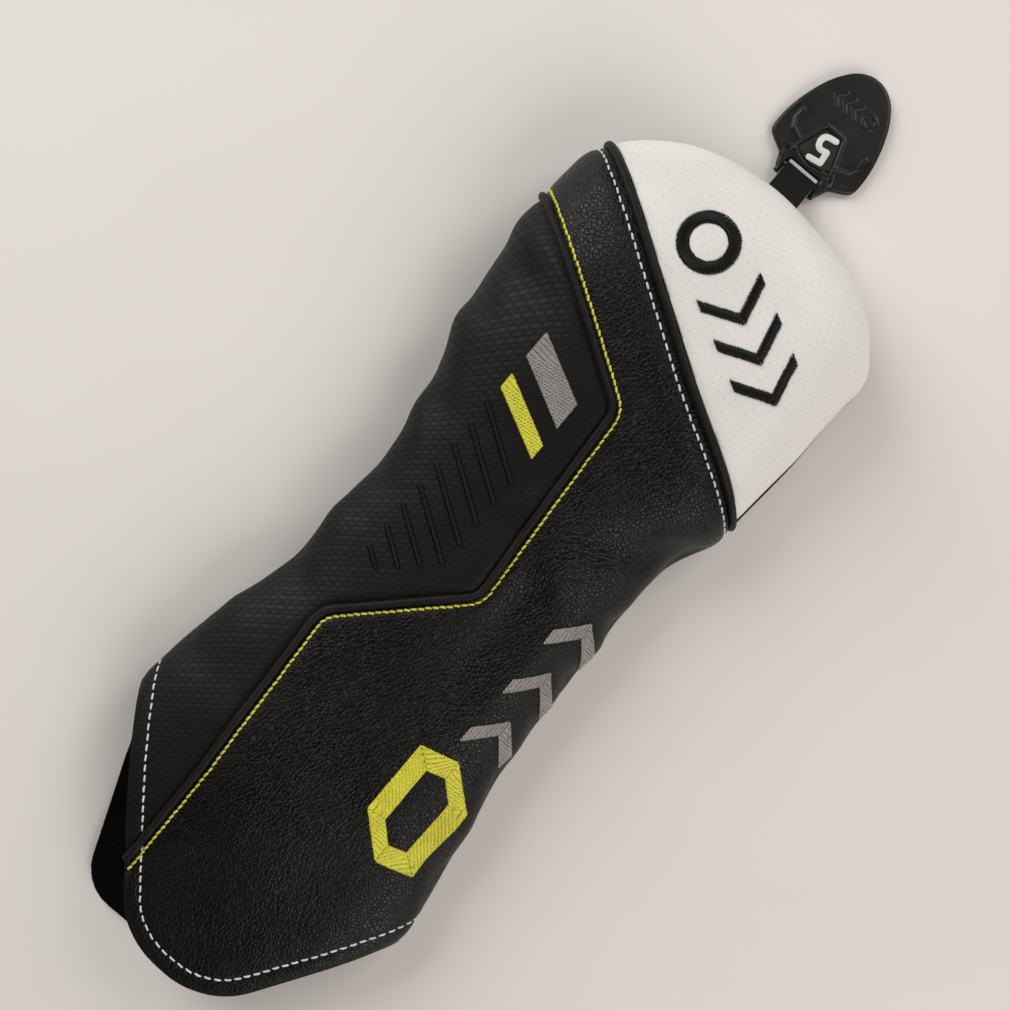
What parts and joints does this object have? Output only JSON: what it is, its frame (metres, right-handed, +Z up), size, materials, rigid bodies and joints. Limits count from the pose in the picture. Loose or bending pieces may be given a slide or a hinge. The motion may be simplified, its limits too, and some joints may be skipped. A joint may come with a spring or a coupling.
{
  "type": "golf headcover",
  "caption": "Padded fairway-wood headcover with a rounded crown, gathered neck and flared mouth, lying flat, with a number tag on a webbing strap.",
  "frame": {"origin": "on the table surface, under the middle of the whole object's box", "axes": "+Y from the mouth to the crown and the tag, +X across to the right, +Z up"},
  "size_m": [0.1215, 0.3734, 0.0459],
  "materials": {
    "white_leather": "perforated synthetic leather, satin",
    "black_leather": "pebbled synthetic leather, semi-matte",
    "carbon_cloth": "twill-pattern coated fabric, matte",
    "black_piping": "fabric-covered cord, matte",
    "white_thread": "polyester thread",
    "yellow_thread": "polyester embroidery thread, satin",
    "silver_thread": "polyester embroidery thread, satin",
    "black_thread": "polyester embroidery thread, satin",
    "black_fleece": "short pile fleece",
    "foam": "polyester wadding",
    "elastic": "woven elastic",
    "black_webbing": "grosgrain webbing",
    "pale_thread": "polyester thread",
    "tag_rubber": "moulded soft rubber, satin",
    "tag_print": "moulded white infill"
  },
  "bodies": {
    "cover": {"crown_front_panel": "white_leather", "crown_back_panel": "black_leather", "crown_edge_piping": "black_piping", "crown_seam_piping": "black_piping", "crown_topstitch": "white_thread", "front_leather_panel": "black_leather", "carbon_panel": "carbon_cloth", "chevron_piping": "black_piping", "chevron_topstitch": "yellow_thread", "hem_topstitch": "white_thread", "black_accent_bars": "black_thread", "yellow_accent_bar": "yellow_thread", "silver_accent_bar": "silver_thread", "crown_motif": "black_thread", "yellow_body_motif": "yellow_thread", "silver_body_motif": "silver_thread", "back_body_panel": "black_leather", "front_lining": "black_fleece", "back_lining": "black_fleece", "crown_front_padding": "foam", "crown_back_padding": "foam", "body_front_padding": "foam", "body_back_padding": "foam", "neck_elastic_lower": "elastic", "neck_elastic_middle": "elastic", "neck_elastic_upper": "elastic"},
    "strap": {"tag_strap": "black_webbing", "strap_stripe": "pale_thread"},
    "tag": {"tag_front_shell": "tag_rubber", "tag_back_shell": "tag_rubber", "tag_number_plate": "tag_rubber", "tag_number": "tag_print", "tag_motif": "tag_rubber"}
  },
  "joints": [
    {"name": "strap_flex", "type": "hinge", "parent": "cover", "child": "strap", "pos_m": [0, 0.1346, 0.011], "axis": [1, 0, 0], "range_deg": [-40, 85]},
    {"name": "tag_swing", "type": "hinge", "parent": "strap", "child": "tag", "pos_m": [0, 0.147, 0.0022], "axis": [1, 0, 0], "range_deg": [-45, 40]}
  ]
}
